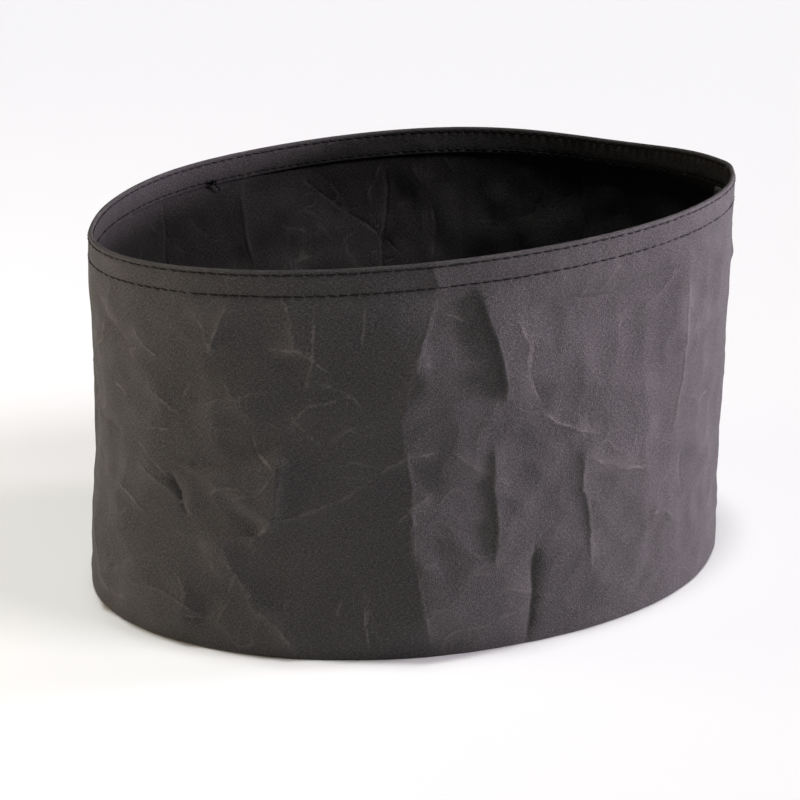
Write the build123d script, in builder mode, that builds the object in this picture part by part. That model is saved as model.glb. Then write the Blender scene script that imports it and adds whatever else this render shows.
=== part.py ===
from build123d import *
from math import atan2, cos, degrees, radians, sin, sqrt
import os

# A soft oval grow bag sewn from washable paper fabric: one wall strip closed by a side seam, its top
# edge folded in as a hem, and an oval base sewn to its turned-in lower edge.
#
# Frame: +Z up, the base stands on Z = 0, the origin is the middle of the oval, and the long way of
# the oval is X. The side seam is at the +X end. Everything is in millimetres.

# Driving dimensions
LENGTH = 297.0  # wall to wall along X
WIDTH = 210.0  # wall to wall along Y
RIM_HEIGHT = 176.0
END_RADIUS = 74.0  # the oval's tighter arcs, at its two ends
PAPER = 0.8  # thickness of one ply
PLY_GAP = 0.5  # air between two plies that lie on each other
HEM_DEPTH = 12.5  # how far the top edge is folded down inside
RIM_ROW = 2.0  # upper stitch row below the rim
HEM_ROW = 10.8  # lower stitch row below the rim
BASE_ALLOWANCE = 8.0  # plies turned up inside at the base seam
BASE_ROW = 2.2  # base stitch row above the floor
SEAM_ALLOWANCE = 10.0  # plies turned back inside at the side seam
SEAM_Y = -4.0  # the side seam crosses the +X end here
SEAM_SLIT = 0.2  # the two ends of the strip stay this far apart
SEAM_ROW = 2.0  # side stitch row behind the seam
THREAD = 0.3  # thread pulled flat, through its thickness
THREAD_HEIGHT = 0.4  # the same thread along the face it lies on
THREAD_CLEAR = 0.05  # thread to paper
KNOT_RADIUS = 0.9
KNOT_ANGLE = 118.0  # where the knot is on the back arc, counted from +X
KNOT_TAILS = ((3.0, 5.0), (-2.5, 2.5))  # each cut end's reach, sideways and down
TAIL_RADIUS = 0.2  # loose thread ends
TAIL_STEPS = ((0, 0, 0), (0.7, 0.3, -2.2), (0.9, -0.7, -4.4), (0.4, -1.5, -6.4))  # from its stitch
TAIL_BEND = 2.0

# The oval is four tangent arcs: two ends and two flatter sides
END_CENTRE_X = LENGTH / 2 - END_RADIUS
SIDE_CENTRE_Y = (END_CENTRE_X**2 - (WIDTH / 2 - END_RADIUS) ** 2) / (WIDTH - 2 * END_RADIUS)
SIDE_RADIUS = WIDTH / 2 + SIDE_CENTRE_Y
HALF_END = degrees(atan2(SIDE_CENTRE_Y, END_CENTRE_X))

# Depths of the plies, measured inwards from the wall's outer face
FIRST_END = PAPER
SECOND_START = FIRST_END + PLY_GAP
SECOND_END = SECOND_START + PAPER
THIRD_START = SECOND_END + PLY_GAP
THIRD_END = THIRD_START + PAPER

os.makedirs("parts", exist_ok=True)


def oval(depth):
    """Edges of the wall's line, moved in by a depth."""
    end_radius = END_RADIUS - depth
    side_radius = SIDE_RADIUS - depth
    with BuildLine(mode=Mode.PRIVATE) as line:
        CenterArc((END_CENTRE_X, 0), end_radius, -HALF_END, 2 * HALF_END)
        CenterArc((0, -SIDE_CENTRE_Y), side_radius, HALF_END, 180 - 2 * HALF_END)
        CenterArc((-END_CENTRE_X, 0), end_radius, 180 - HALF_END, 2 * HALF_END)
        CenterArc((0, SIDE_CENTRE_Y), side_radius, 180 + HALF_END, 180 - 2 * HALF_END)
    return line.edges()


def stand(outer, inner, bottom, top, behind_seam=None, mode=Mode.ADD):
    """Stand a ring on the wall's line, between two depths and two heights, in the part being built.

    With no inner depth it is filled. behind_seam, as (start, end), keeps only that stretch of it,
    measured from the side seam towards the back.
    """
    with BuildSketch(Plane.XY.offset(bottom)) as flat:
        make_face(oval(outer))
        if inner is not None:
            make_face(oval(inner), mode=Mode.SUBTRACT)
        if behind_seam is not None:
            start, end = behind_seam
            with Locations((LENGTH / 2, SEAM_Y + (start + end) / 2)):
                Rectangle(END_RADIUS, end - start, mode=Mode.INTERSECT)
    extrude(flat.sketch, amount=top - bottom, mode=mode)


# Wall panel: one strip. Its top edge is folded in and down as the hem, its bottom edge is folded in
# and up at the base seam, and its two ends meet at the side seam, where both turn in and lie towards
# the back between hem and base seam.
hem_edge = RIM_HEIGHT - HEM_DEPTH
seam_low = BASE_ALLOWANCE + PLY_GAP
seam_high = hem_edge - PLY_GAP
slit = SEAM_SLIT / 2
with BuildPart() as wall_panel:
    stand(0, SECOND_END, 0, RIM_HEIGHT)
    stand(FIRST_END, None, BASE_ALLOWANCE, hem_edge, mode=Mode.SUBTRACT)
    stand(FIRST_END, SECOND_START, PAPER, RIM_HEIGHT - PAPER, mode=Mode.SUBTRACT)
    stand(0, SECOND_END, 0, RIM_HEIGHT, behind_seam=(-slit, slit), mode=Mode.SUBTRACT)
    # the back end of the strip: folded back on the wall
    stand(0, SECOND_END, seam_low, seam_high, behind_seam=(slit, slit + PAPER))
    stand(SECOND_START, SECOND_END, seam_low, seam_high, behind_seam=(slit, SEAM_ALLOWANCE))
    # the front end of the strip: past the seam and over the back end
    stand(0, THIRD_END, seam_low, seam_high, behind_seam=(-slit - PAPER, -slit))
    stand(THIRD_START, THIRD_END, seam_low, seam_high, behind_seam=(-slit - PAPER, SEAM_ALLOWANCE))
wall_panel.part.label = "wall_panel"
export_step(wall_panel.part, "parts/wall_panel.step")

# Base panel: an oval whose edge is turned up inside the wall's own turned edge.
with BuildPart() as base_panel:
    stand(THIRD_START, None, 0, BASE_ALLOWANCE)
    stand(THIRD_END, None, PAPER, BASE_ALLOWANCE, mode=Mode.SUBTRACT)
base_panel.part.label = "base_panel"
export_step(base_panel.part, "parts/base_panel.step")

# Lockstitch rows of the hem: a needle thread on the outer face and a bobbin thread on the inner one,
# each one closed band as deep as the pulled-flat thread.
outside = (-THREAD_CLEAR - THREAD, -THREAD_CLEAR)
inside = (SECOND_END + THREAD_CLEAR, SECOND_END + THREAD_CLEAR + THREAD)
half_thread = THREAD_HEIGHT / 2
for row, below_rim in (("rim_edge", RIM_ROW), ("hem", HEM_ROW)):
    row_height = RIM_HEIGHT - below_rim
    for side, depths in (("needle", outside), ("bobbin", inside)):
        with BuildPart() as row_thread:
            stand(*depths, row_height - half_thread, row_height + half_thread)
        row_thread.part.label = f"{row}_{side}_thread"
        export_step(row_thread.part, f"parts/{row}_{side}_thread.step")

# Base seam and side seam: the needle thread is on the innermost ply, and the bobbin thread lies
# hidden between the wall and the ply that is turned back on it.
innermost = (THIRD_END + THREAD_CLEAR, THIRD_END + THREAD_CLEAR + THREAD)
hidden = (FIRST_END + THREAD_CLEAR, FIRST_END + THREAD_CLEAR + THREAD)
side_row = (SEAM_ROW - half_thread, SEAM_ROW + half_thread)
for side, depths in (("needle", innermost), ("bobbin", hidden)):
    with BuildPart() as base_thread:
        stand(*depths, BASE_ROW - half_thread, BASE_ROW + half_thread)
    base_thread.part.label = f"base_seam_{side}_thread"
    export_step(base_thread.part, f"parts/base_seam_{side}_thread.step")

    with BuildPart() as side_thread:
        stand(*depths, seam_low, seam_high, behind_seam=side_row)
    side_thread.part.label = f"side_seam_{side}_thread"
    export_step(side_thread.part, f"parts/side_seam_{side}_thread.step")

# Knot where the lower hem row starts and ends: on the inner face of the back, with its two cut ends.
knot_reach = SIDE_RADIUS - inside[1] - KNOT_RADIUS
knot_centre = Vector(
    knot_reach * cos(radians(KNOT_ANGLE)),
    knot_reach * sin(radians(KNOT_ANGLE)) - SIDE_CENTRE_Y,
    RIM_HEIGHT - HEM_ROW,
)
with BuildPart() as hem_thread_knot:
    with Locations(knot_centre):
        Sphere(KNOT_RADIUS)
    for sideways, down in KNOT_TAILS:
        tail = Vector(sideways, 0, -down)
        with BuildSketch(Plane(origin=knot_centre, z_dir=tail)):
            Circle(TAIL_RADIUS)
        extrude(amount=tail.length)
hem_thread_knot.part.label = "hem_thread_knot"
export_step(hem_thread_knot.part, "parts/hem_thread_knot.step")

# Loose thread end where the upper row starts at the side seam: out of the stitch, then down.
tail_x = END_CENTRE_X + sqrt((END_RADIUS - outside[0] + TAIL_RADIUS) ** 2 - SEAM_Y**2)
tail_start = Vector(tail_x, SEAM_Y, RIM_HEIGHT - RIM_ROW)
with BuildPart() as rim_thread_tail:
    with BuildLine() as tail_route:
        FilletPolyline(*[tail_start + Vector(*step) for step in TAIL_STEPS], radius=TAIL_BEND)
    with BuildSketch(Plane(origin=tail_route.line @ 0, z_dir=tail_route.line % 0)):
        Circle(TAIL_RADIUS)
    sweep(path=tail_route.line)
rim_thread_tail.part.label = "rim_thread_tail"
export_step(rim_thread_tail.part, "parts/rim_thread_tail.step")
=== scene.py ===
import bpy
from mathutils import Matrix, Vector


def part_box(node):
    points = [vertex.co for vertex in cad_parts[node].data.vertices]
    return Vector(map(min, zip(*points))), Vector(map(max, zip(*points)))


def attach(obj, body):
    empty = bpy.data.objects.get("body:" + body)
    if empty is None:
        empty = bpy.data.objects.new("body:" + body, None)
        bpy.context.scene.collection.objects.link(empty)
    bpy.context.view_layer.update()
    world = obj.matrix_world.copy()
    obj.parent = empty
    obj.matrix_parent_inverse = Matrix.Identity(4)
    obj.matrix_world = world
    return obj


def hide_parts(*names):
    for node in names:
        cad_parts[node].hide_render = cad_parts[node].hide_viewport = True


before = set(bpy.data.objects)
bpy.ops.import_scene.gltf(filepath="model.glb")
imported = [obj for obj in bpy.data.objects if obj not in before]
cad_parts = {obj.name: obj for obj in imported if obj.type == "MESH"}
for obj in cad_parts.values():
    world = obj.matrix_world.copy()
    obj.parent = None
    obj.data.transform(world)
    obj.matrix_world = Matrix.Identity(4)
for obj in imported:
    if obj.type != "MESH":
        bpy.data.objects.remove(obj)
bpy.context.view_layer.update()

import math

import bmesh
import bpy
import numpy as np
from mathutils import Quaternion, Vector, noise

# Fabric grow bag: an oval bag sewn from dark, creased, washable paper fabric.
#
# Lengths are in metres unless a name or comment says millimetres. The wall is drawn as the flat strip
# that it is sewn from. `along` runs round the bag from the side seam at the +X tip over the front (-Y)
# to the -X end and back behind (+Y). `height` is above the floor, `depth` is below the rim, and
# `inset` is how far a point lies inside the wall's outer face.

bl_info = {
    "name": "Fabric Grow Bag",
    "version": (1, 0, 0),
    "blender": (4, 5, 0),
    "location": "View3D > Sidebar > Grow Bag",
    "description": "Builds an oval grow bag sewn from creased washable paper fabric",
    "category": "Add Mesh",
}

BODY = "root"
MM = 0.001
WALL_BOX = [list(corner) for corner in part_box("wall_panel")]

# The bag stands on an oval a little smaller than the CAD's regular one, and its rim leans and waves.
FLOOR_SHARE = (0.99, 0.965)  # of the CAD wall's half length and half width
FLOOR_SHIFT = (-0.002, -0.0045)
RIM_SHARE = 0.995  # mean height of the rim, of the CAD wall's height
RIM_TILT = 0.0043  # the rim is this much higher at RIM_HIGH, and as much lower across from it
RIM_HIGH = 0.12
# Each lean and dip is (where, how far, how wide). Where and how wide are shares of one turn round the
# bag from the side seam, so 0.25 is the front, 0.5 the -X end and 0.75 the back.
RIM_LEANS = ((0.0, 0.004, 0.06), (0.18, -0.003, 0.10), (0.52, -0.013, 0.08), (0.79, 0.011, 0.10))
RIM_DIPS = ((0.58, -0.002, 0.05), (0.89, -0.003, 0.06))

# The main folds of the wall, from one end to the other in a bow. Each is (start, end, bow, rise,
# flanks, wear), in millimetres: its ends as (along, height), how far its middle bows away from the
# seam, or up on a fold that runs along the wall, how far it stands out (in, if negative), over what
# distance each of its two flanks falls to about a third, and how much its crest is worn, from 0 to 1.
# Each runs down or away from the seam, and the first flank is the one nearer to the seam, or the
# lower one.
FOLDS = (
    # the long front fold, and the nick above it in the hem
    ((195, 170), (200, -5), 14, 6.5, (60, 42), 0.35),
    ((200, 180), (195, 165), 0, 2.4, (4, 3), 0.9),
    # the crack under the hem, with the face beside it that turns to the right
    ((182, 168), (170, 115), -3, 3.2, (34, 2.5), 0.1),
    ((75, 155), (165, 152), 3, -1.8, (28, 5), 0.1),
    # upright folds and cross folds of the right half
    ((175, 100), (175, 40), 0, 1.6, (16, 2), 0.4),
    ((135, 90), (130, 30), 0, 1.2, (14, 2.2), 0.4),
    ((158, 50), (160, -5), 0, -2.3, (4, 9), 0.15),
    ((75, 155), (85, 80), -6, 1.1, (9, 14), 0.5),
    ((125, 92), (156, 110), -2, 0.8, (4, 9), 0.9),
    ((100, 70), (136, 86), -2, 0.8, (4, 8), 0.8),
    # the dented patch left of the long fold
    ((280, 165), (290, 140), 0, 1.8, (7, 15), 0.6),
    ((262, 172), (256, 140), -3, 1.4, (14, 4), 0.65),
    ((258, 127), (300, 112), 3, 1.2, (12, 6), 0.4),
    # the sharp corner low on the left, and the ridges that leave it
    ((265, 100), (272, 60), -6, 4.4, (1.8, 24), 0.4),
    ((225, 90), (268, 66), -4, 1.5, (7, 11), 0.5),
    ((272, 60), (302, 50), 0, 1.4, (9, 5), 0.5),
    # the short crack left of it
    ((314, 82), (306, 63), 0, -2.2, (2, 2.6), 0),
    ((302, 62), (333, 82), 3, 1.3, (10, 6), 0.45),
    # the foot of the left side
    ((290, 54), (256, 0), 4, 2.6, (5, 16), 0.6),
    ((300, 16), (346, 22), 5, 2.0, (12, 12), 0.2),
    ((377, 48), (358, 8), 0, 1.7, (11, 5), 0.5),
    # the left end and the back
    ((405, 120), (418, 20), 0, 2.0, (14, 10), 0.4),
    ((430, 84), (505, 74), 0, 1.8, (10, 14), 0.5),
    ((470, 162), (470, 4), 4, 2.6, (20, 14), 0.5),
    ((520, 166), (522, 112), -6, -1.8, (10, 4), 0.1),
    ((545, 156), (600, 108), 0, 1.8, (12, 10), 0.4),
    ((590, 168), (592, 0), 0, 3.0, (24, 18), 0.5),
    ((692, 168), (688, 84), 0, 1.6, (9, 7), 0.5),
    ((735, 120), (744, 10), 0, 1.5, (10, 8), 0.3),
)
FOLD_POINTS = 7
FOLD_KINK = 0.022  # how far a fold's points stray from its bow, as a share of its length
NO_FOLD = 0.02  # how far off the nearest fold is said to be where there is none
# Smoother stretches of the front, in millimetres along, and the share of small creases left out there
CALM_STRETCHES = ((15, 195, 0.65), (195, 270, 0.4))

# How far the crumpling moves the wall, from broad dents to the finest facets
BROAD_DENTS = 0.0026
FOLD_DENTS = 0.0011
FACET_DENTS = 0.0006
BACK_STARTS = (0.38, 0.44)  # along: the back crumples more than the front
BACK_ENDS = (0.74, 0.775)
WAIST = (0.385, 0.05, -0.0023)  # the -X end is drawn in: where along, how wide and how far
EDGE_WEAR = (0.0015, 0.35)  # how far from the rim and the foot the paper is worn, and how much
SEAM_BULGE = (0.0011, 0.009)  # how far the seam's plies push the wall out, and how wide
SEAM_GROOVE = (0.0011, 0.0009)  # depth and width of the side seam's groove

TURN_STEPS = 4001  # places at which the rim's length is measured


def length(name, default, description):
    """A length that a user may change."""
    return bpy.props.FloatProperty(
        name=name, default=default, description=description, min=0, max=1, unit="LENGTH", precision=5
    )


def tint(name, default, description):
    """A colour that a user may change."""
    return bpy.props.FloatVectorProperty(
        name=name, default=default, description=description, size=3, min=0, max=1, subtype="COLOR"
    )


def share(name, default, description, most=1.0):
    """A plain number that a user may change."""
    return bpy.props.FloatProperty(
        name=name, default=default, description=description, min=0, max=most, subtype="FACTOR"
    )


class GrowBagPaper(bpy.types.PropertyGroup):
    """The washable paper fabric, its folds and its look."""

    thickness: length("Thickness", 0.0008, "Thickness of one ply")
    gap: length("Ply gap", 0.0005, "Air between two plies that lie on each other")
    hem: length("Hem depth", 0.0125, "How far the top edge is folded down inside")
    allowance: length("Base allowance", 0.008, "How far plies are turned up at the base seam")
    seam_allowance: length("Seam allowance", 0.010, "How far plies are turned back at the side seam")
    creasing: share("Creasing", 1.0, "Scales every crease and dent", 2.0)
    small_creases: bpy.props.IntProperty(
        name="Small creases", default=240, min=0, max=600, description="Scattered small creases of the wall"
    )
    seed: bpy.props.IntProperty(name="Seed", default=11, description="Where the small creases are")
    colour: tint("Colour", (0.0255, 0.0240, 0.0238), "Unworn face of the paper")
    fibre: tint("Fibre colour", (0.078, 0.0735, 0.0725), "Pale fibres in the paper")
    brown: tint("Brown fibre colour", (0.062, 0.038, 0.027), "Scattered brown fibres")
    worn: tint("Worn colour", (0.135, 0.122, 0.112), "Paper rubbed pale along its creases")


class GrowBagThread(bpy.types.PropertyGroup):
    """The sewing thread and its rows."""

    radius: length("Thread radius", 0.00036, "Half the thickness of the thread")
    stitches: bpy.props.IntProperty(
        name="Stitches round", default=176, min=24, max=400, description="Stitches in one row round the bag"
    )
    fill: share("Stitch fill", 0.88, "Length of a stitch as a share of its pitch")
    rim_row: length("Upper row", 0.0020, "Upper hem row, below the rim")
    hem_row: length("Lower row", 0.0108, "Lower hem row, below the rim")
    base_row: length("Base row", 0.0022, "Base seam row, above the floor")
    seam_row: length("Side row", 0.0020, "Side seam row, behind the seam")
    unevenness: share("Unevenness", 0.12, "How much stitches differ")
    seed: bpy.props.IntProperty(name="Seed", default=4, description="Which stitches differ, and how")
    colour: tint("Colour", (0.0022, 0.0021, 0.0022), "Colour of the thread")


class GrowBagStage(bpy.types.PropertyGroup):
    """Floor, lights and camera."""

    floor: tint("Floor", (0.93, 0.94, 0.93), "Colour of the floor")
    key: share("Key light", 8.3, "Strength of the low light from the right", 50)
    key_tint: tint("Key tint", (0.96, 0.83, 1.0), "Tint of the light from the right")
    fill: share("Fill light", 3.2, "Power of the low light on the left, in watts", 50)
    fill_tint: tint("Fill tint", (1.0, 0.85, 0.67), "Tint of the light from the left")
    upper: share("Upper light", 1.35, "Strength of the light from high on the right", 50)
    top: share("Top light", 1.9, "Strength of the light from overhead", 50)
    ambient: share("Even light", 0.02, "Strength of the light from all round", 5)


def round_bells(turn, bells):
    """Sum of smooth bumps on a closed turn, each (where, how far, how wide)."""
    return sum(
        far * np.exp(-((np.sin(np.pi * (turn - at)) / (np.pi * wide)) ** 2)) for at, far, wide in bells
    )


def step(value, start, end):
    """0 before start, 1 after end, and smooth between."""
    part = np.clip((value - start) / (end - start), 0, 1)
    return part * part * (3 - 2 * part)


def bell(value, centre, width):
    """1 at a centre, fading away from it."""
    return np.exp(-(((value - centre) / width) ** 2))


def noise_at(points, scale, offset=0.0):
    """Smooth noise from about -1 to 1 at points in metres, `scale` features to the metre."""
    shift = Vector((offset, offset * 0.7 + 3.1, offset * 1.3 + 7.7))
    return np.array([noise.noise(Vector(point) * scale + shift) for point in points])


def along_path(path, along, height):
    """Signed distance to a path, below or before it being positive, and the share of its length."""
    best = np.full(len(along), np.inf)
    side = np.ones(len(along))
    share_of = np.zeros(len(along))
    runs = np.linalg.norm(np.diff(path, axis=0), axis=1)
    gone = 0.0
    for start, end, run in zip(path[:-1], path[1:], runs):
        way = (end - start) / run
        across, up = along - start[0], height - start[1]
        part = np.clip(across * way[0] + up * way[1], 0, run)
        off = np.hypot(across - way[0] * part, up - way[1] * part)
        closer = off < best
        best = np.where(closer, off, best)
        side = np.where(closer, np.where(way[0] * up - way[1] * across < 0, 1.0, -1.0), side)
        share_of = np.where(closer, (gone + part) / runs.sum(), share_of)
        gone += run
    return best * side, share_of


def bowed(start, end, bow, random):
    """Points from start to end along a bow, straying a little to its two sides."""
    start, end = np.array(start, float), np.array(end, float)
    way = end - start
    reach = np.linalg.norm(way)
    aside = np.array([-way[1], way[0]]) / reach
    part = np.linspace(0, 1, FOLD_POINTS)
    stray = random.normal(0, FOLD_KINK * reach, FOLD_POINTS) * np.sin(np.pi * part)
    return start + np.outer(part, way) + np.outer(4 * bow * part * (1 - part) + stray, aside)


def main_folds(seed):
    """The main folds as (points, rise, flanks, wear)."""
    random = np.random.default_rng(seed)
    return [
        (bowed(start, end, bow, random), rise, flanks, wear) for start, end, bow, rise, flanks, wear in FOLDS
    ]


def scattered_creases(count, seed, length):
    """Small creases all over the wall, fewer of them on the smoother stretches of the front."""
    random = np.random.default_rng(seed)
    found = []
    for _ in range(count):
        along, height = random.uniform(0, length / MM), random.uniform(6, 162)
        angle, reach = random.uniform(0, math.pi), random.uniform(4, 17)
        bend = random.normal(0, 0.4)
        sign, rise = random.choice((-1, 1, 1)), random.uniform(0.25, 0.85)
        flanks = tuple(random.uniform(2, 9, 2))
        wear, calm = random.uniform(0.2, 0.85), random.random()
        if any(start < along < end and calm < left_out for start, end, left_out in CALM_STRETCHES):
            continue
        back = (along - reach * math.cos(angle), height - reach * math.sin(angle))
        ahead = (along + reach * math.cos(angle + bend), height + reach * math.sin(angle + bend))
        found.append(((back, (along, height), ahead), sign * rise, flanks, wear))
    return found


class Strip:
    """The wall as a strip: it turns along, height and inset into places on the bag."""

    def __init__(self, creasing, small_creases, seed):
        self.creasing = creasing
        low, high = (np.array(corner) for corner in WALL_BOX)
        self.half = (high - low)[:2] / 2 * np.array(FLOOR_SHARE)
        self.middle = (high + low)[:2] / 2 + np.array(FLOOR_SHIFT)
        self.mean_rim = (high - low)[2] * RIM_SHARE
        self.turns = np.linspace(0, 1, TURN_STEPS)
        leaning = self.line(self.turns, np.ones((TURN_STEPS, 1)))
        rim = np.column_stack([leaning, self.rim_at(self.turns)])
        runs = np.linalg.norm(np.diff(rim, axis=0), axis=1)
        self.lengths = np.concatenate([[0], np.cumsum(runs)])
        self.length = float(self.lengths[-1])
        self.folded = main_folds(seed) + scattered_creases(small_creases, seed, self.length)

    def rim_at(self, turn):
        """Height of the rim at a share of the turn."""
        tilt = RIM_TILT * np.cos(2 * np.pi * (turn - RIM_HIGH))
        return self.mean_rim + tilt + round_bells(turn, RIM_DIPS)

    def line(self, turn, up):
        """Plan of the wall at shares of its turn, from the floor's oval to the leaning rim."""
        angle = 2 * np.pi * turn
        long, deep = self.half
        oval = self.middle + np.column_stack([long * np.cos(angle), -deep * np.sin(angle)])
        out = np.column_stack([deep * np.cos(angle), -long * np.sin(angle)])
        out /= np.linalg.norm(out, axis=1)[:, None]
        return oval + out * round_bells(turn, RIM_LEANS)[:, None] * up

    def turn(self, along):
        """Share of the turn at a length along the rim."""
        return np.interp(np.mod(along, self.length), self.lengths, self.turns)

    def rim(self, along):
        """Height of the rim."""
        return self.rim_at(self.turn(along))

    def plain(self, along, height):
        """Places on the wall before it is creased, and the level way out of it."""
        turn = self.turn(along)
        up = (height / self.rim_at(turn))[:, None]
        way = self.line(turn + 0.0005, up) - self.line(turn - 0.0005, up)
        way /= np.linalg.norm(way, axis=1)[:, None]
        return np.column_stack([self.line(turn, up), height]), np.column_stack([-way[:, 1], way[:, 0]])

    def creases(self, along, height):
        """How far the folds and creases push out, and each place's nearest fold, its wear and its sharpness.

        The distance to the nearest fold is signed, as along_path gives it.
        """
        spots = np.column_stack([along, height, np.zeros(len(along))])
        bend, drift = (
            0.0010 * noise_at(spots, 70, coarse) + 0.0006 * noise_at(spots, 260, fine)
            for coarse, fine in ((0.0, 2.0), (5.0, 8.0))
        )
        pushed, nearest = np.zeros(len(along)), np.full(len(along), NO_FOLD)
        worn, fold = np.zeros(len(along)), np.zeros(len(along))
        for points, rise, flanks, wear in self.folded:
            path = np.array(points, float) * MM
            reach = 4.5 * max(flanks) * MM
            middle = path[:, 0].mean()
            here = np.mod(along - middle + self.length / 2, self.length) - self.length / 2 + middle + bend
            level = height + drift
            near = np.flatnonzero(
                (here > path[:, 0].min() - reach) & (here < path[:, 0].max() + reach)
                & (level > path[:, 1].min() - reach) & (level < path[:, 1].max() + reach)
            )
            if len(near) == 0:
                continue
            off, share_of = along_path(path, here[near], level[near])
            fade = step(np.minimum(share_of, 1 - share_of), -0.03, 0.2)
            flank = np.where(off > 0, flanks[0], flanks[1]) * MM
            pushed[near] += rise * MM * np.exp(-np.abs(off) / flank) * fade
            closer = np.abs(off) < np.abs(nearest[near])
            nearest[near[closer]] = off[closer]
            beside = fade[closer] * (1 - step(np.abs(off[closer]), 0.003, 0.008))
            worn[near[closer]] = wear * beside
            fold[near[closer]] = np.sign(rise) * min(1.0, abs(rise) / 2) * beside
        return pushed, nearest, worn, fold

    def shape(self, along, height):
        """How far the wall stands out of its plain line, and what its material needs to know."""
        places, _ = self.plain(along, height)
        depth = self.rim(along) - height
        pushed, nearest, worn, fold = self.creases(along, height)
        broad = noise_at(places, 16, 1.0)
        folds = noise_at(places, 33, 4.0)
        facets = noise_at(places, 66, 9.0)
        back = step(along, *BACK_STARTS) * (1 - step(along, *BACK_ENDS))
        crumple = FOLD_DENTS * (0.35 - np.abs(folds) * 1.7) + FACET_DENTS * (0.3 - np.abs(facets) * 1.7)
        # the paper crumples freely below the hem and less at the foot
        free = step(depth, 0.012, 0.034) * (0.3 + 0.7 * step(height, 0.0, 0.02))
        # folds fade out at the rim, and are shallow in the hem and at the foot
        held = step(depth, 0.0, 0.004) * (0.3 + 0.7 * step(depth, 0.010, 0.020))
        held *= 0.35 + 0.65 * step(height, 0.0, 0.012)
        waist_at, waist_wide, waist_far = WAIST
        waist = waist_far * np.sin(np.pi * np.clip((height - 0.03) / 0.12, 0, 1))
        waist = waist * bell(along, waist_at, waist_wide)
        dents = BROAD_DENTS * broad * (0.6 + 0.6 * back) + crumple * (0.8 + 0.6 * back)
        move = pushed * held + dents * free
        edge = np.minimum(depth, height)
        edge_wide, edge_wear = EDGE_WEAR
        at_edge = edge < np.minimum(np.abs(nearest), edge_wide)
        fields = {
            "fold_off": np.where(at_edge, edge, nearest), "fold": np.where(at_edge, 0, fold * held),
            "wear": np.where(at_edge, edge_wear, worn * held), "folds": folds, "facets": facets,
        }
        return (move + waist * free) * self.creasing, fields

    def place(self, along, height, inset):
        """Places on the creased wall, at a depth inside its outer face."""
        points, out = self.plain(along, height)
        move = self.shape(along, height)[0] + self.seam_bulge(along, height) - inset
        points[:, :2] += out * move[:, None]
        return points

    def seam_bulge(self, along, height):
        """The hem stands out where it holds the side seam's plies, and the seam is a fine groove."""
        off = np.mod(along + self.length / 2, self.length) - self.length / 2
        depth = self.rim(along) - height
        bulge = SEAM_BULGE[0] * bell(off, -0.003, SEAM_BULGE[1]) * step(height, 0.004, 0.02)
        groove = SEAM_GROOVE[0] * bell(off, 0.0, SEAM_GROOVE[1]) * step(depth, 0.0, 0.002)
        return bulge - groove

    def directions(self, along, height):
        """The way along the wall and the way out of it, as unit vectors."""
        reach = 0.0016
        ahead = self.place(along + reach, height, 0) - self.place(along - reach, height, 0)
        up = self.place(along, height + reach, 0) - self.place(along, height - reach, 0)
        out = np.cross(up, ahead)
        ahead /= np.linalg.norm(ahead, axis=1)[:, None]
        return ahead, out / np.linalg.norm(out, axis=1)[:, None]


def linked(name, data):
    """A new object in the scene."""
    made = bpy.data.objects.new(name, data)
    bpy.context.scene.collection.objects.link(made)
    return made


def baked(drawn):
    """An object's mesh as its modifiers or its curve make it."""
    depsgraph = bpy.context.evaluated_depsgraph_get()
    return bpy.data.meshes.new_from_object(drawn.evaluated_get(depsgraph), depsgraph=depsgraph)


class Shell:
    """A closed mesh built from loops of places, with the paper's coordinates and wear at each one."""

    FIELDS = ("strip_u", "strip_v", "fold_off", "fold", "wear", "folds", "facets")

    def __init__(self):
        self.points, self.fields, self.faces = [], {name: [] for name in self.FIELDS}, []
        self.count = 0

    def add(self, points, **fields):
        """Add places in bulk and return their numbers."""
        start = self.count
        self.points.append(np.asarray(points, float))
        size = len(self.points[-1])
        for name in self.FIELDS:
            self.fields[name].append(np.broadcast_to(fields.get(name, 0.0), size))
        self.count += size
        return np.arange(start, start + size)

    def bridge(self, first, second, closed=True):
        """Quads from one loop of numbers to the next one."""
        if closed:
            first, second = np.append(first, first[0]), np.append(second, second[0])
        self.faces.extend(np.column_stack([first[:-1], first[1:], second[1:], second[:-1]]).tolist())

    def cap(self, loop):
        """One face across a loop."""
        self.faces.append([int(i) for i in loop])

    def piece(self, name, material):
        """The finished object, with its faces pointing outwards."""
        mesh = bpy.data.meshes.new(name)
        mesh.from_pydata(np.vstack(self.points).tolist(), [], self.faces)
        for field in self.FIELDS[2:]:
            layer = mesh.attributes.new(field, "FLOAT", "POINT")
            layer.data.foreach_set("value", np.concatenate(self.fields[field]).astype(np.float32))
        strip = mesh.uv_layers.new(name="strip")
        corner = np.zeros(len(mesh.loops), np.int32)
        mesh.loops.foreach_get("vertex_index", corner)
        flat = np.column_stack([np.concatenate(self.fields[name]) for name in ("strip_u", "strip_v")])
        strip.data.foreach_set("uv", flat[corner].astype(np.float32).ravel())
        outwards(mesh)
        mesh.materials.append(material)
        mesh.shade_smooth()
        mesh.validate()
        return linked(name, mesh)


def outwards(mesh):
    """Turn a closed mesh's faces so that they point outwards."""
    shape = bmesh.new()
    shape.from_mesh(mesh)
    bmesh.ops.recalc_face_normals(shape, faces=shape.faces)
    shape.to_mesh(mesh)
    shape.free()


def belongs(piece, slot, *nodes):
    """Fix a finished piece to the bag and let it stand for its CAD nodes; the slot it is given is not used.
    """
    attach(piece, BODY)
    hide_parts(*nodes)
    return piece


# ---- the wall ----

COLUMNS_PER_STITCH = 3
OUTER_ROWS = 98
INNER_ROWS = 32
HEM_ROWS = (1.1, 1.5, 2.0, 2.5, 3.3, 5, 7, 9, 10.2, 10.8, 11.4)  # millimetres below the rim
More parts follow.
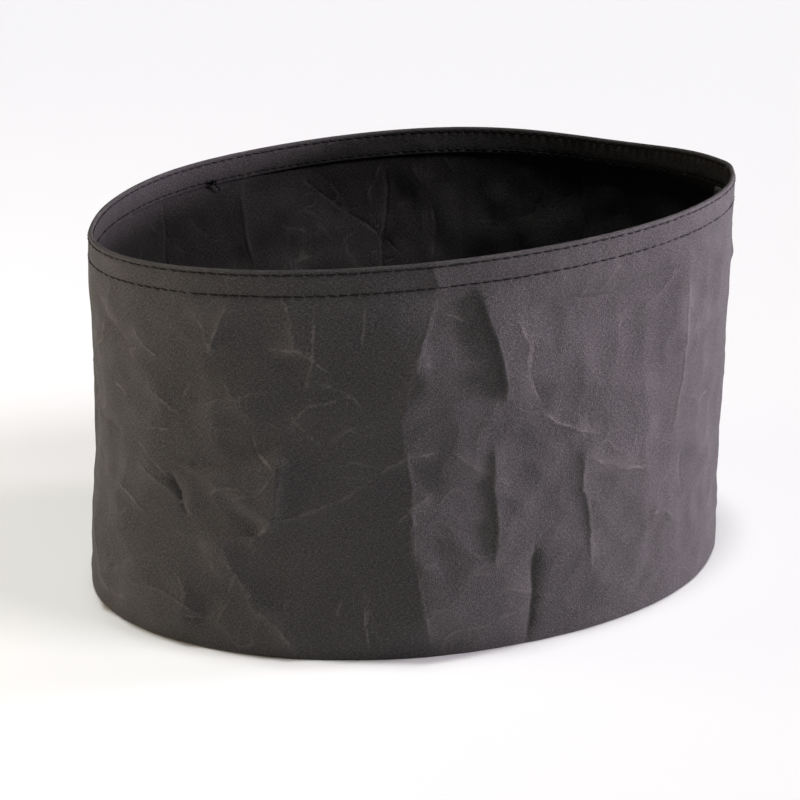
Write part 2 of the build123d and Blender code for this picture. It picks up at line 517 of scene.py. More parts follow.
# The "share" rows start this high above the floor and end this far below the rim
OPEN_WALL = (0.0082, 0.0156)
SEWN_DEPTHS = (0.001, 0.0125)  # only rows between these depths are drawn in by the thread
DIMPLE = (0.00026, 0.0006)  # how far the thread draws the paper in at a stitch row, and how wide
HEM_WAVES = 0.00022  # how far the hem's faces wave
SEAM_PLY_ROWS = 78


def wall_profile(paper):
    """The strip's section, from the rim down its outer face and back up inside, as (kind, place, inset).

    The kinds are "depth" below the rim, "height" above the floor, and "share" of the wall between.
    """
    first, second = paper.thickness, paper.thickness + paper.gap
    inner = second + paper.thickness
    middle = inner / 2
    round_off = 0.293 * middle  # from the corner of a fold to where it is half turned
    hem, turned = paper.hem, paper.allowance
    section = [("depth", at * MM, 0.0) for at in (*HEM_ROWS, 12.5, 14)]
    section += [("share", at, 0.0) for at in np.linspace(1, 0, OUTER_ROWS)]
    section += [("height", at * MM, 0.0) for at in (6.4, 4.4, 2.8, 1.8, 1.1)]
    section += [("height", round_off, round_off), ("height", 0.0, middle)]
    section += [("height", round_off, inner - round_off)]
    section += [("height", at, inner) for at in (middle, 0.004, turned - 0.0004)]
    section += [("height", turned, inner - 0.0002), ("height", turned, second + 0.0001)]
    section += [("height", turned - 0.0014, second), ("height", turned - 0.0014, first + 0.00004)]
    section += [("height", turned + 0.0004, first)]
    section += [("share", at, first) for at in np.linspace(0, 1, INNER_ROWS)]
    section += [("depth", hem + 0.0004, first), ("depth", hem - 0.0013, first + 0.00004)]
    section += [("depth", hem - 0.0013, second), ("depth", hem - 0.0003, second)]
    section += [("depth", hem, second + 0.0001), ("depth", hem, inner - 0.0001)]
    section += [("depth", hem - 0.0002, inner)]
    section += [("depth", at * MM, inner) for at in reversed(HEM_ROWS)]
    section += [("depth", round_off, inner - round_off), ("depth", 0.0, middle)]
    return section + [("depth", round_off, round_off)]


def row_heights(kind, at, rim):
    """Height of a section's row at each column."""
    if kind == "depth":
        return rim - at
    if kind == "height":
        return np.full_like(rim, at)
    low, high = OPEN_WALL[0], rim - OPEN_WALL[1]
    return low + (high - low) * at


def sewn_in(kind, at, inset, columns, thread):
    """How far the needle holes and the thread pull the paper in at a row, on both faces."""
    if kind != "depth" or not SEWN_DEPTHS[0] < at < SEWN_DEPTHS[1]:
        return np.zeros(len(columns))
    phase = np.where(columns % COLUMNS_PER_STITCH == 0, 1.0, 0.15)
    pull = sum(bell(at, row, DIMPLE[1]) for row in (thread.rim_row, thread.hem_row))
    inwards = 1.0 if inset < MM else -1.0
    return inwards * DIMPLE[0] * pull * (0.35 + 0.65 * phase)


def build_wall(strip, paper, thread, material):
    """The wall panel with its hem, its turned-up lower edge and its side seam's allowances."""
    shell = Shell()
    columns = np.arange(thread.stitches * COLUMNS_PER_STITCH)
    along = columns * strip.length / len(columns)
    rim = strip.rim(along)
    rings = []
    for kind, at, inset in wall_profile(paper):
        height = row_heights(kind, at, rim)
        depth = rim - height
        move, fields = strip.shape(along, height)
        points, out = strip.plain(along, height)
        hem_waves = HEM_WAVES * noise_at(np.column_stack([along, height, along * 0]), 130, 3.0)
        hem_waves *= step(depth, 0.0018, 0.004) * (1 - step(depth, 0.016, 0.03))
        level = inset + sewn_in(kind, at, inset, columns, thread) - hem_waves
        points[:, :2] += out * (move + strip.seam_bulge(along, height) - level)[:, None]
        inside = inset > paper.thickness / 2
        if inside:
            fields["fold"] = -fields["fold"]
        rings.append(shell.add(points, strip_u=along, strip_v=height + (1 if inside else 0), **fields))
    for upper, lower in zip(rings, rings[1:] + rings[:1]):
        shell.bridge(upper, lower)
    add_seam_plies(shell, strip, paper)
    return shell.piece("wall_panel_paper", material)


def add_seam_plies(shell, strip, paper):
    """Both ends of the strip, turned in at the side seam and laid back on the wall behind it."""
    first, second = paper.thickness, paper.thickness + paper.gap
    third, fourth = 2 * second, 2 * second + paper.thickness
    reach = paper.seam_allowance
    # round both plies, as (how far behind the seam, inset)
    section = [
        (-0.0011, first - 0.0002), (-0.0011, third), (-0.0007, fourth - 0.0002), (0.0004, fourth),
        (0.25 * reach, fourth), (0.5 * reach, fourth), (0.75 * reach, fourth), (reach, fourth),
        (reach, third + 0.0001), (0.75 * reach, third), (0.5 * reach, third), (0.14 * reach, third - 0.0001),
        (0.14 * reach, second + first), (0.5 * reach, second + first), (0.94 * reach, second + first),
        (0.94 * reach, second + 0.0001), (0.5 * reach, second), (0.1 * reach, second - 0.0001),
        (0.06 * reach, first - 0.0002),
    ]
    rim = strip.rim(np.zeros(1))[0]
    heights = np.linspace(paper.allowance + paper.gap, rim - paper.hem - paper.gap, SEAM_PLY_ROWS)
    behind, insets = np.array(section).T
    loops = []
    for height in heights:
        level = np.full(len(section), height)
        lift = 0.0011 * (0.6 + noise.noise(Vector((height * 40, 0.3, 0.9))))
        drift = 0.0009 * noise.noise(Vector((height * 55, 4.3, 2.2)))
        free = np.clip(behind / reach, 0, 1) ** 2
        points = strip.place(-behind - drift * free, level, insets + np.where(insets > first, lift * free, 0))
        loops.append(shell.add(points, strip_u=-behind, strip_v=level + 1.5, fold_off=NO_FOLD))
    for lower, upper in zip(loops, loops[1:]):
        shell.bridge(lower, upper)
    shell.cap(loops[0])
    shell.cap(loops[-1][::-1])


# ---- the base ----

BASE_COLUMNS = 264
BASE_RINGS = 44
OUTLINE_STEPS = 400  # places at which the base's length and width are measured


def build_base(strip, paper, material):
    """The base panel: an oval sheet whose edge is turned up inside the wall's own turned edge."""
    shell = Shell()
    outer = 2 * (paper.thickness + paper.gap)
    inner = outer + paper.thickness
    along = np.arange(BASE_COLUMNS) * strip.length / BASE_COLUMNS
    ground = np.zeros(BASE_COLUMNS)
    rim_line = strip.place(along, ground + 0.001, outer)[:, :2]
    inner_line = strip.place(along, ground + 0.001, inner)[:, :2]
    middle = inner_line.mean(0)

    def dents(places):
        spots = np.column_stack([places, np.zeros(len(places))])
        folds, facets = noise_at(spots, 24, 2.0), noise_at(spots, 52, 6.0)
        sides = np.clip(1 - np.linalg.norm((places - middle) / (inner_line.max(0) - middle), axis=1), 0, 1)
        rise = 0.0016 * (0.5 - np.abs(folds) * 1.4) + 0.0007 * (0.5 - np.abs(facets) * 1.6)
        rise += 0.0012 * noise_at(spots, 9, 1.0)
        return np.maximum(rise * step(sides, 0.0, 0.25), 0.0), folds, facets

    def level_ring(line, share_out, lift):
        places = middle + (line - middle) * share_out
        rise, folds, facets = dents(places)
        return shell.add(
            np.column_stack([places, rise + lift]),
            strip_u=places[:, 0] + 2, strip_v=places[:, 1] + lift * 300,
            fold_off=NO_FOLD, folds=folds, facets=facets,
        )

    def standing_ring(height, inset):
        points = strip.place(along, ground + height, inset)
        return shell.add(points, strip_u=along + 3, strip_v=ground + height + inset * 200, fold_off=NO_FOLD)

    shares = np.linspace(1, 0, BASE_RINGS + 1)[1:-1]
    rings = [level_ring(inner_line, at, paper.thickness) for at in shares[::-1]]
    top_centre = rings[0]
    rings.append(standing_ring(paper.thickness + 0.0004, inner + 0.0002))
    rings += [standing_ring(at * MM, inner) for at in (2.2, 4.0, 6.0, 7.7)]
    rings += [standing_ring(paper.allowance, inner - 0.0002), standing_ring(paper.allowance, outer + 0.0002)]
    rings += [standing_ring(at * MM, outer) for at in (7.6, 4.0, 0.8)]
    rings.append(standing_ring(0.0001, outer + 0.0007))
    rings += [level_ring(rim_line, at * 0.992, 0.0) for at in shares]
    low_centre = rings[-1]
    for first, second in zip(rings, rings[1:]):
        shell.bridge(first, second)
    for ring, lift in ((top_centre, paper.thickness), (low_centre, 0.0)):
        rise, folds, facets = dents(middle[None, :])
        hub = shell.add(
            [[middle[0], middle[1], rise[0] + lift]], strip_u=middle[0] + 2, strip_v=middle[1] + lift * 300,
            fold_off=NO_FOLD, folds=folds, facets=facets,
        )[0]
        shell.faces.extend([[int(hub), int(a), int(b)] for a, b in zip(ring, np.roll(ring, -1))])
    return shell.piece("base_panel_paper", material)


# ---- materials ----


def feed(tree, socket, value):
    """Give a socket a value, or link it to another node's socket."""
    if isinstance(value, bpy.types.NodeSocket):
        tree.links.new(value, socket)
    else:
        socket.default_value = value


def add_node(tree, kind, sockets=None, **settings):
    """A node with its settings made and its sockets fed."""
    made = tree.nodes.new(kind)
    for name, value in settings.items():
        setattr(made, name, value)
    for socket, value in (sockets or {}).items():
        feed(tree, made.inputs[socket], value)
    return made


class Recipe:
    """A material's node tree, built one node at a time."""

    def __init__(self, name):
        self.material = bpy.data.materials.new(name)
        self.material.use_nodes = True
        self.tree = self.material.node_tree
        self.shader = self.tree.nodes["Principled BSDF"]

    def node(self, kind, sockets=None, **settings):
        return add_node(self.tree, kind, sockets, **settings)

    def finish(self, sockets):
        """Feed the shader and return the finished material."""
        for socket, value in sockets.items():
            feed(self.tree, self.shader.inputs[socket], value)
        return self.material

    def math(self, operation, first, second=0.0, clamp=False):
        sockets = {0: first, 1: second}
        return self.node("ShaderNodeMath", sockets, operation=operation, use_clamp=clamp).outputs[0]

    def times(self, first, second):
        return self.math("MULTIPLY", first, second)

    def off_zero(self, field):
        """How far a mesh attribute is from zero, either way."""
        return self.math("ABSOLUTE", self.attribute(field))

    def ramp(self, value, low, high, out_low=0.0, out_high=1.0, smooth=True):
        """Value from one range to another, held at its ends."""
        made = self.node(
            "ShaderNodeMapRange",
            {"Value": value, "From Min": low, "From Max": high, "To Min": out_low, "To Max": out_high},
            interpolation_type="SMOOTHSTEP" if smooth else "LINEAR",
        )
        return made.outputs["Result"]

    def noise(self, where, scale, detail=2.0, roughness=0.5, stretch=None):
        if stretch is not None:
            where = self.node("ShaderNodeMapping", {"Vector": where, "Scale": stretch}).outputs[0]
        sockets = {"Vector": where, "Scale": scale, "Detail": detail, "Roughness": roughness}
        return self.node("ShaderNodeTexNoise", sockets).outputs["Fac"]

    def attribute(self, name):
        return self.node("ShaderNodeAttribute", None, attribute_name=name).outputs["Fac"]

    def mix(self, share_of, first, second):
        sockets = {0: share_of, 6: first, 7: second}
        return self.node("ShaderNodeMix", sockets, data_type="RGBA").outputs[2]

    def bump(self, height, distance, strength=1.0, before=None):
        sockets = {"Height": height, "Distance": distance, "Strength": strength}
        if before is not None:
            sockets["Normal"] = before
        return self.node("ShaderNodeBump", sockets).outputs[0]


def opaque(colour):
    return (*colour, 1.0)


def paper_material(paper):
    """Matt washable paper: clouded charcoal, short pale and brown fibres, and wear along its creases."""
    made = Recipe("Creased paper fabric")
    places = made.node("ShaderNodeTexCoord").outputs["Object"]
    strip = made.node("ShaderNodeUVMap", None, uv_map="strip").outputs[0]

    # short fibres both ways, and the grain between them
    clouds = made.noise(places, 15, 3, 0.6)
    smudges = made.noise(places, 90, 4, 0.62)
    upright = made.noise(strip, 1, 3, 0.7, stretch=(2300, 800, 1))
    level = made.noise(strip, 1, 3, 0.7, stretch=(700, 2600, 1))
    grain = made.noise(strip, 2900, 2, 0.7)
    brown = made.noise(strip, 1, 2, 0.5, stretch=(700, 1500, 1))
    upright, level = (made.ramp(way, 0.34, 0.66, -0.5, 0.5) for way in (upright, level))
    fibres = made.math("ADD", made.math("ADD", upright, level), made.ramp(grain, 0.32, 0.68, -0.55, 0.55))

    # wear: ragged pale lines on the folds and creases, and finer ones on the crumpling
    wander = made.noise(places, 800, 2)
    off = made.times(made.off_zero("fold_off"), 1 / MM)
    ragged = made.math("ADD", off, made.ramp(wander, 0.3, 0.7, -0.4, 0.4))
    crest = made.ramp(ragged, 0.1, 0.85, 1.0, 0.0)
    broken = made.ramp(made.noise(places, 130, 3), 0.38, 0.62, 0.15, 1.0)
    wear = made.attribute("wear")
    crest = made.times(made.times(crest, broken), wear)
    patch = made.ramp(made.noise(places, 30, 2), 0.45, 0.66)
    lines = made.ramp(made.off_zero("folds"), 0.0, 0.022, 1.0, 0.0)
    fine = made.ramp(made.off_zero("facets"), 0.0, 0.045, 1.0, 0.0)
    lines = made.times(made.math("MAXIMUM", lines, fine), made.times(patch, broken))
    rubbed = made.times(made.ramp(off, 0.0, 9.0, 0.30, 0.0), made.times(patch, wear))
    worn = made.math("MAXIMUM", crest, made.times(lines, 0.34))
    worn = made.math("MAXIMUM", worn, rubbed, clamp=True)

    deep, dark, light = (opaque(by * part for part in paper.colour) for by in (0.25, 0.72, 1.28))
    base = made.mix(made.ramp(clouds, 0.3, 0.7), dark, light)
    base = made.mix(made.ramp(brown, 0.54, 0.68, 0.0, 0.9), base, opaque(paper.brown))
    base = made.mix(made.ramp(smudges, 0.4, 0.75, 0.0, 0.18), base, opaque(paper.fibre))
    base = made.mix(made.ramp(fibres, 0.0, 1.0), base, opaque(paper.fibre))
    base = made.mix(made.ramp(fibres, 0.0, -1.0), base, deep)
    base = made.mix(made.times(worn, 0.75), base, opaque(paper.worn))

    # the folds and creases are sharper than the mesh: a narrow tent along each of them
    tent = made.times(made.ramp(off, 0.0, 1.6, 1.0, 0.0, smooth=False), made.attribute("fold"))
    bumped = made.bump(tent, 0.0005, 1.0)
    bumped = made.bump(made.noise(places, 420, 3, 0.65), 0.00018, 0.8, before=bumped)
    return made.finish({
        "Base Color": base, "Roughness": made.ramp(smudges, 0.3, 0.7, 0.68, 0.82),
        "Specular IOR Level": 0.35, "Sheen Weight": 0.04, "Sheen Roughness": 0.5,
        "Normal": made.bump(fibres, 0.00005, 1.0, before=bumped),
    })


def thread_material(thread):
    """Twisted polyester sewing thread with a slight gloss."""
    made = Recipe("Sewing thread")
    places = made.node("ShaderNodeTexCoord").outputs["Object"]
    lint = made.noise(places, 2400, 3, 0.6)
    pale = opaque(min(1.0, 2.6 * part) for part in thread.colour)
    return made.finish({
        "Base Color": made.mix(made.ramp(lint, 0.35, 0.75), opaque(thread.colour), pale),
        "Roughness": made.ramp(lint, 0.3, 0.7, 0.42, 0.62), "Specular IOR Level": 0.15,
        "Normal": made.bump(lint, 0.0001, 0.7),
    })


def floor_material(stage):
    """Plain pale floor."""
    return Recipe("Pale floor").finish(
        {"Base Color": opaque(stage.floor), "Roughness": 0.9, "Specular IOR Level": 0.1}
    )


def kept_material(name, build, settings):
    """A material made once and then shared."""
    found = bpy.data.materials.get(name)
    return found if found is not None else build(settings)


# ---- stitches ----

STITCH_SIDES = 6
STITCH_STEPS = 4
STITCH_SINK = 1.1  # how far a stitch's ends sink into the paper, in thread radii


def stitch_tree():
    """Geometry Nodes tree that lays one short arched thread on each point of a row."""
    tree = bpy.data.node_groups.get("Stitch row")
    if tree is not None:
        return tree
    tree = bpy.data.node_groups.new("Stitch row", "GeometryNodeTree")
    for name, kind in (
        ("Row", "Geometry"), ("Stitch length", "Float"), ("Thread radius", "Float"), ("Sink", "Float"),
        ("Unevenness", "Float"), ("Seed", "Int"), ("Thread", "Material"),
    ):
        tree.interface.new_socket(name=name, in_out="INPUT", socket_type=f"NodeSocket{kind}")
    tree.interface.new_socket(name="Stitches", in_out="OUTPUT", socket_type="NodeSocketGeometry")

    def node(kind, sockets=None, output=0, **settings):
        return add_node(tree, kind, sockets, **settings).outputs[output]

    def times(first, second):
        return node("ShaderNodeMath", {0: first, 1: second}, operation="MULTIPLY")

    def vector(**parts):
        return node("ShaderNodeCombineXYZ", parts)

    given = add_node(tree, "NodeGroupInput").outputs
    half = times(given["Stitch length"], 0.5)
    back, below = times(half, -1.0), times(given["Sink"], -1.0)
    arch = node("GeometryNodeCurveQuadraticBezier", {
        "Resolution": STITCH_STEPS, "Start": vector(X=back, Z=below),
        "Middle": vector(Z=given["Sink"]), "End": vector(X=half, Z=below),
    })
    ring = {"Resolution": STITCH_SIDES, "Radius": given["Thread radius"]}
    ring = node("GeometryNodeCurvePrimitiveCircle", ring)
    stitch = node("GeometryNodeCurveToMesh", {"Curve": arch, "Profile Curve": ring, "Fill Caps": True})
    way, out = (
        node("GeometryNodeInputNamedAttribute", {"Name": name}, data_type="FLOAT_VECTOR")
        for name in ("way", "out")
    )

    # each stitch sways a little and is a little shorter than the longest one
    uneven = given["Unevenness"]
    span = vector(X=uneven, Y=uneven, Z=uneven)
    low = node("ShaderNodeVectorMath", {0: span, "Scale": -1.0}, operation="SCALE")
    sway = {"Min": low, "Max": span, "Seed": given["Seed"]}
    sway = node("FunctionNodeRandomValue", sway, data_type="FLOAT_VECTOR")
    swayed = node("ShaderNodeVectorMath", {0: way, 1: sway}, operation="ADD")
    turned = node(
        "FunctionNodeAxesToRotation", {"Primary Axis": swayed, "Secondary Axis": out},
        primary_axis="X", secondary_axis="Z",
    )
    shrink = node("ShaderNodeMath", {0: 1.0, 1: uneven}, operation="SUBTRACT")
    sizes = {2: shrink, 3: 1.0, "Seed": given["Seed"]}
    sizes = node("FunctionNodeRandomValue", sizes, output=1, data_type="FLOAT")
    placed = node("GeometryNodeInstanceOnPoints", {
        "Points": given["Row"], "Instance": stitch, "Rotation": turned,
        "Scale": vector(X=sizes, Y=1.0, Z=1.0),
    })
    soft = node("GeometryNodeSetShadeSmooth", {"Geometry": node("GeometryNodeRealizeInstances", {0: placed})})
    done = node("GeometryNodeSetMaterial", {"Geometry": soft, "Material": given["Thread"]})
    add_node(tree, "NodeGroupOutput", {"Stitches": done})
    return tree


def lay_stitches(name, points, way, out, pitch, thread, seed_step):
    """A row of stitches as one plain mesh."""
    mesh = bpy.data.meshes.new(name)
    mesh.from_pydata([tuple(point) for point in points], [], [])
    for field, values in (("way", way), ("out", out)):
        layer = mesh.attributes.new(field, "FLOAT_VECTOR", "POINT")
        layer.data.foreach_set("vector", np.asarray(values, np.float32).ravel())
    row = linked(name, mesh)
    modifier = row.modifiers.new("Stitches", "NODES")
    modifier.node_group = stitch_tree()
    values = {
        "Stitch length": pitch * thread.fill, "Thread radius": thread.radius,
        "Sink": STITCH_SINK * thread.radius,
        "Unevenness": thread.unevenness, "Seed": thread.seed + seed_step,
        "Thread": kept_material("Sewing thread", thread_material, thread),
    }
    for socket in modifier.node_group.interface.items_tree:
        if socket.in_out == "INPUT" and socket.name in values:
            modifier[socket.identifier] = values[socket.name]
    row.data = baked(row)
    row.modifiers.clear()
    row.data.name = name
    return row


def round_row(name, strip, paper, thread, height_at, inset, seed_step):
    """Stitches all round the bag at one height, on the outer face or facing inwards."""
    count = thread.stitches
    pitch = strip.length / count
    along = (np.arange(count) + 0.5) * pitch
    height = height_at(along)
    way, out = strip.directions(along, height)
    points = strip.place(along, height, inset)
    if inset > paper.thickness / 2:
        out = -out
    return lay_stitches(name, points, way, out, pitch, thread, seed_step)


def tube(name, path, radius, material):
    """A short round thread along a smooth path, as a closed mesh."""
    curve = bpy.data.curves.new(name, "CURVE")
    curve.dimensions = "3D"
    line = curve.splines.new("NURBS")
    line.points.add(len(path) - 1)
    for point, place in zip(line.points, path):
        point.co = (*place, 1)
    line.order_u = 4
    line.use_endpoint_u = True
    line.resolution_u = 6
    curve.bevel_depth = radius
    curve.bevel_resolution = 2
    curve.use_fill_caps = True
    drawn = linked(name, curve)
    mesh = baked(drawn)
    bpy.data.objects.remove(drawn)
    outwards(mesh)
    mesh.materials.clear()
    mesh.materials.append(material)
    mesh.shade_smooth()
    return linked(name, mesh)


# ---- operators ----

_strip = {}


def the_strip(scene):
    """The wall's strip, made once."""
    paper = scene.grow_bag_paper
    wanted = (paper.creasing, paper.small_creases, paper.seed)
    if wanted not in _strip:
        _strip[wanted] = Strip(*wanted)
    return _strip[wanted]


class Maker:
    """What the operators for the bag's pieces share: each is handed the strip, paper and thread."""

    def execute(self, context):
        scene = context.scene
        self.make(the_strip(scene), scene.grow_bag_paper, scene.grow_bag_thread)
        return {"FINISHED"}


class GROWBAG_OT_wall(Maker, bpy.types.Operator):
    """Add the wall panel with its hem and side seam"""

    bl_idname = "growbag.wall"
    bl_label = "Wall Panel"

    def make(self, strip, paper, thread):
        material = kept_material("Creased paper fabric", paper_material, paper)
        wall = belongs(build_wall(strip, paper, thread, material), "paper_fabric", "wall_panel")
        tall = float(strip.rim(np.linspace(0, strip.length, 200)).mean()) + paper.hem + paper.allowance


class GROWBAG_OT_base(Maker, bpy.types.Operator):
    """Add the oval base panel with its turned-up edge"""

    bl_idname = "growbag.base"
    bl_label = "Base Panel"

    def make(self, strip, paper, thread):
        material = kept_material("Creased paper fabric", paper_material, paper)
        base = belongs(build_base(strip, paper, material), "paper_fabric", "base_panel")
        along = np.linspace(0, strip.length, OUTLINE_STEPS, endpoint=False)
        outline = strip.place(along, np.full(OUTLINE_STEPS, 0.001), 0.002)[:, :2]


class GROWBAG_OT_hem_rows(Maker, bpy.types.Operator):
    """Sew the hem's two rows, on the outer and the inner face"""

    bl_idname = "growbag.hem_rows"
    bl_label = "Hem Stitches"

    def make(self, strip, paper, thread):
        inner = 2 * paper.thickness + paper.gap
        rows = (("rim_edge", thread.rim_row), ("hem", thread.hem_row))
        for step_of, (row, depth) in enumerate(rows):
            for side, inset in (("needle", 0.0), ("bobbin", inner)):
                made = round_row(
                    f"{row}_{side}_stitches", strip, paper, thread,
                    lambda along, depth=depth: strip.rim(along) - depth, inset,
                    step_of + 10 * (side == "needle"),
                )
                belongs(made, "thread", f"{row}_{side}_thread")


class GROWBAG_OT_seam_rows(Maker, bpy.types.Operator):
    """Sew the base seam and the side seam"""

    bl_idname = "growbag.seam_rows"
    bl_label = "Seam Stitches"

    def make(self, strip, paper, thread):
        innermost = 3 * paper.thickness + 2 * paper.gap
        hidden = paper.thickness + paper.gap / 2
        for step_of, (side, inset) in enumerate((("needle", innermost), ("bobbin", hidden))):
            made = round_row(
                f"base_seam_{side}_stitches", strip, paper, thread,
                lambda along: np.full(len(along), thread.base_row), inset, 20 + step_of,
            )
            belongs(made, "thread", f"base_seam_{side}_thread")
            made = side_row(f"side_seam_{side}_stitches", strip, paper, thread, inset, 30 + step_of)
            belongs(made, "thread", f"side_seam_{side}_thread")


SIDE_ROW_CLEAR = 0.0015  # the upright row stops this far from the hem and the turned-up edge


def side_row(name, strip, paper, thread, inset, seed_step):
    """The upright row behind the side seam."""
    pitch = strip.length / thread.stitches
    low = paper.allowance + SIDE_ROW_CLEAR
    high = float(strip.rim(np.zeros(1))[0]) - paper.hem - SIDE_ROW_CLEAR
    count = int((high - low) / pitch)
    height = low + (np.arange(count) + 0.5) * pitch
    along = np.full(count, -thread.seam_row)
    way, out = strip.directions(along, height)
    upwards = np.cross(way, out)
    return lay_stitches(name, strip.place(along, height, inset), upwards, -out, pitch, thread, seed_step)


class GROWBAG_OT_loose_ends(Maker, bpy.types.Operator):
    """Add the knot inside the back and the loose end at the seam"""

    bl_idname = "growbag.loose_ends"
    bl_label = "Knot and Thread End"

    def make(self, strip, paper, thread):
        material = kept_material("Sewing thread", thread_material, thread)
        inner = 2 * paper.thickness + paper.gap
        path = thread_path(strip, KNOT_ALONG, thread.hem_row, inner, -1, KNOT_STEPS)
        knot = tube("hem_thread_knot_tied", path, thread.radius, material)
        belongs(knot, "thread", "hem_thread_knot")
        path = thread_path(strip, TAIL_ALONG, thread.rim_row, 0.0, 1, TAIL_STEPS)
        tail = tube("rim_thread_tail_loose", path, thread.radius * 0.8, material)
        belongs(tail, "thread", "rim_thread_tail")


KNOT_ALONG = 0.5
TAIL_ALONG = 0.0012
# Ways of the threads, in millimetres: sideways, up and off the face. The knot is on the inner face
# and the loose end on the outer one.
KNOT_STEPS = (
    (-3.2, 0.0, 0.2), (-1.6, 0.1, 0.5), (-0.5, 0.9, 1.1), (0.8, 0.7, 1.7), (1.0, -0.5, 1.5),
    (0.0, -1.1, 0.7), (-1.0, -0.4, 0.9), (-0.7, 0.8, 1.9), (0.5, 1.0, 1.3), (1.1, 0.1, 0.6),
    (0.5, -0.9, 1.3), (-0.6, -0.9, 1.8), (-0.6, 0.2, 1.2), (0.6, 0.3, 0.8), (0.9, -1.2, 0.9),
    (1.4, -2.6, 0.8), (2.9, -3.6, 0.7), (3.4, -5.2, 0.5),
)
TAIL_STEPS = (
    (0.4, 0.0, -0.1), (0.2, -0.4, 0.5), (-0.2, -1.4, 0.8), (0.3, -2.6, 0.9), (0.9, -3.9, 0.7),
    (0.6, -5.2, 0.5), (1.2, -6.3, 0.6),
)


def thread_path(strip, along, depth, inset, facing, steps):
    """Places of a loose thread, from where it leaves a row: facing is 1 outside and -1 inside."""
    along = np.full(1, along)
    height = strip.rim(along) - depth
    centre = strip.place(along, height, inset)[0]
    way, out = (axis[0] for axis in strip.directions(along, height))
    up = np.cross(way, out)
    return [centre + (way * side + up * rise + out * facing * off) * MM for side, rise, off in steps]


# The camera stands a metre off, to the left of the front and above the rim
CAMERA_AIM = (-0.004, -0.009, 0.079)
CAMERA_DISTANCE = 1.0
CAMERA_LEFT = 8.7  # degrees to the left of straight in front
CAMERA_RISE = 23.1  # degrees above the horizon
CAMERA_ROLL = -1.4
CAMERA_LENS = 99.0
# The light on the left stands so low that only its top edge reaches inside the bag
FILL_PLACE = (-0.78, 0.07, 0.14)
FILL_AIM = (-0.08, -0.04, 0.08)
FILL_SIZE = (0.34, 0.11)
# Each sun's azimuth, where 0 is the front and 90 the right, its elevation and its spread, in degrees
KEY_SUN = (89, 2, 12)
UPPER_SUN = (62, 40, 20)
TOP_SUN = (0, 88, 12)
FLOOR_HALF = 6.0


def aimed(name, data, place, aim, roll=0.0):
    """A camera or light at a place, turned towards another."""
    made = linked(name, data)
    made.location = place
    made.rotation_mode = "QUATERNION"
    turn = (Vector(aim) - Vector(place)).to_track_quat("-Z", "Y")
    made.rotation_quaternion = turn @ Quaternion((0, 0, 1), math.radians(roll))
    return made


def way_to(azimuth, elevation):
    """Unit vector from the bag: azimuth 0 is the front and 90 the right."""
    turn, lift = math.radians(azimuth), math.radians(elevation)
    return Vector((math.sin(turn) * math.cos(lift), -math.cos(turn) * math.cos(lift), math.sin(lift)))


def soft_sun(name, azimuth, elevation, spread, strength, colour):
    """An even light from far away."""
    data = bpy.data.lights.new(name, "SUN")
    data.energy = strength
    data.angle = math.radians(spread)
    data.color = colour
    return aimed(name, data, way_to(azimuth, elevation) * 3, (0, 0, 0))


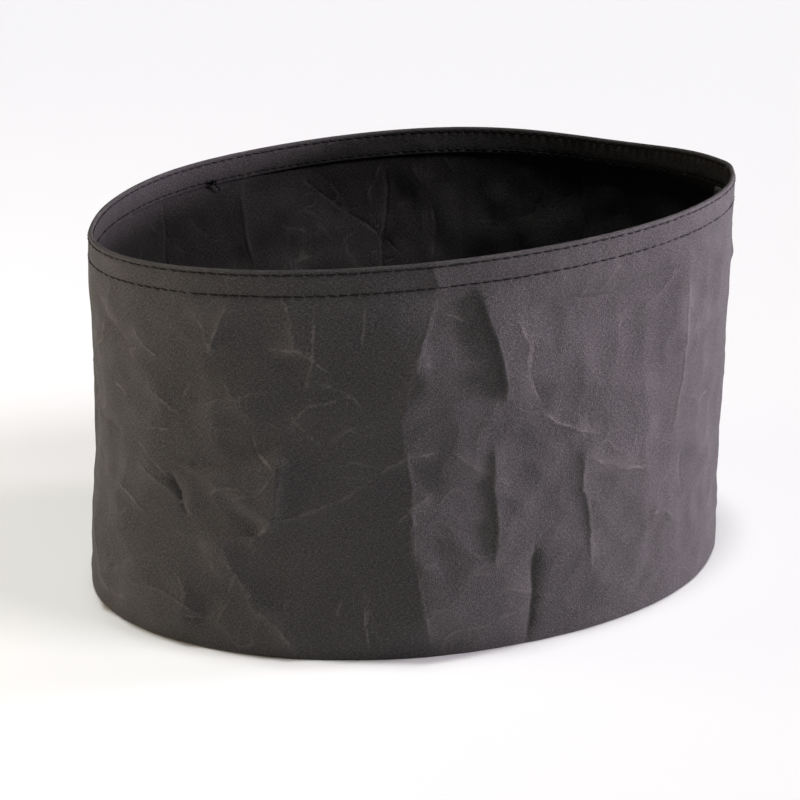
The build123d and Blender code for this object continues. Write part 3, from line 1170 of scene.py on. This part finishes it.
class GROWBAG_OT_stage(bpy.types.Operator):
    """Add the floor, the lights and the camera"""

    bl_idname = "growbag.stage"
    bl_label = "Stage"

    def execute(self, context):
        stage = context.scene.grow_bag_stage
        mesh = bpy.data.meshes.new("floor")
        corners = [(x * FLOOR_HALF, y * FLOOR_HALF, 0) for x, y in ((-1, -1), (1, -1), (1, 1), (-1, 1))]
        mesh.from_pydata(corners, [], [(0, 1, 2, 3)])
        mesh.materials.append(floor_material(stage))
        floor = linked("floor", mesh)

        soft_sun("key_light", *KEY_SUN, stage.key, stage.key_tint)
        fill = bpy.data.lights.new("fill_light", "AREA")
        fill.shape, fill.size, fill.size_y = "RECTANGLE", *FILL_SIZE
        fill.energy, fill.color = stage.fill, stage.fill_tint
        aimed("fill_light", fill, FILL_PLACE, FILL_AIM).visible_camera = False
        soft_sun("upper_light", *UPPER_SUN, stage.upper, (1, 0.96, 1))
        soft_sun("top_light", *TOP_SUN, stage.top, (1, 1, 1))
        world = bpy.data.worlds.new("Studio")
        context.scene.world = world
        world.use_nodes = True
        background = world.node_tree.nodes["Background"]
        background.inputs["Color"].default_value = (1, 1, 1, 1)
        background.inputs["Strength"].default_value = stage.ambient

        lens = bpy.data.cameras.new("camera")
        lens.lens = CAMERA_LENS
        lens.clip_start, lens.clip_end = 0.05, 30
        place = Vector(CAMERA_AIM) + CAMERA_DISTANCE * way_to(-CAMERA_LEFT, CAMERA_RISE)
        camera = aimed("camera", lens, place, CAMERA_AIM, CAMERA_ROLL)
        context.scene.camera = camera
        context.scene.view_settings.view_transform = "Standard"
        return {"FINISHED"}


PIECES = (
    GROWBAG_OT_stage, GROWBAG_OT_base, GROWBAG_OT_wall, GROWBAG_OT_hem_rows, GROWBAG_OT_seam_rows,
    GROWBAG_OT_loose_ends,
)
SETTINGS = (
    ("grow_bag_paper", GrowBagPaper), ("grow_bag_thread", GrowBagThread), ("grow_bag_stage", GrowBagStage),
)


class GROWBAG_PT_panel(bpy.types.Panel):
    """Lists the bag's pieces and its sizes and colours"""

    bl_idname = "GROWBAG_PT_panel"
    bl_label = "Fabric Grow Bag"
    bl_space_type = "VIEW_3D"
    bl_region_type = "UI"
    bl_category = "Grow Bag"

    def draw(self, context):
        for operator in PIECES:
            self.layout.operator(operator.bl_idname)
        for name, group in SETTINGS:
            box = self.layout.box()
            for field in group.__annotations__:
                box.prop(getattr(context.scene, name), field)


def register():
    for name, group in SETTINGS:
        bpy.utils.register_class(group)
        setattr(bpy.types.Scene, name, bpy.props.PointerProperty(type=group))
    for item in (*PIECES, GROWBAG_PT_panel):
        bpy.utils.register_class(item)


def unregister():
    for item in (GROWBAG_PT_panel, *reversed(PIECES)):
        bpy.utils.unregister_class(item)
    for name, group in reversed(SETTINGS):
        delattr(bpy.types.Scene, name)
        bpy.utils.unregister_class(group)


def main():
    """Build the bag and its stage."""
    register()
    bpy.ops.growbag.stage()
    bpy.ops.growbag.base()
    bpy.ops.growbag.wall()
    bpy.ops.growbag.hem_rows()
    bpy.ops.growbag.seam_rows()
    bpy.ops.growbag.loose_ends()


if __name__ == "__main__":
    main()
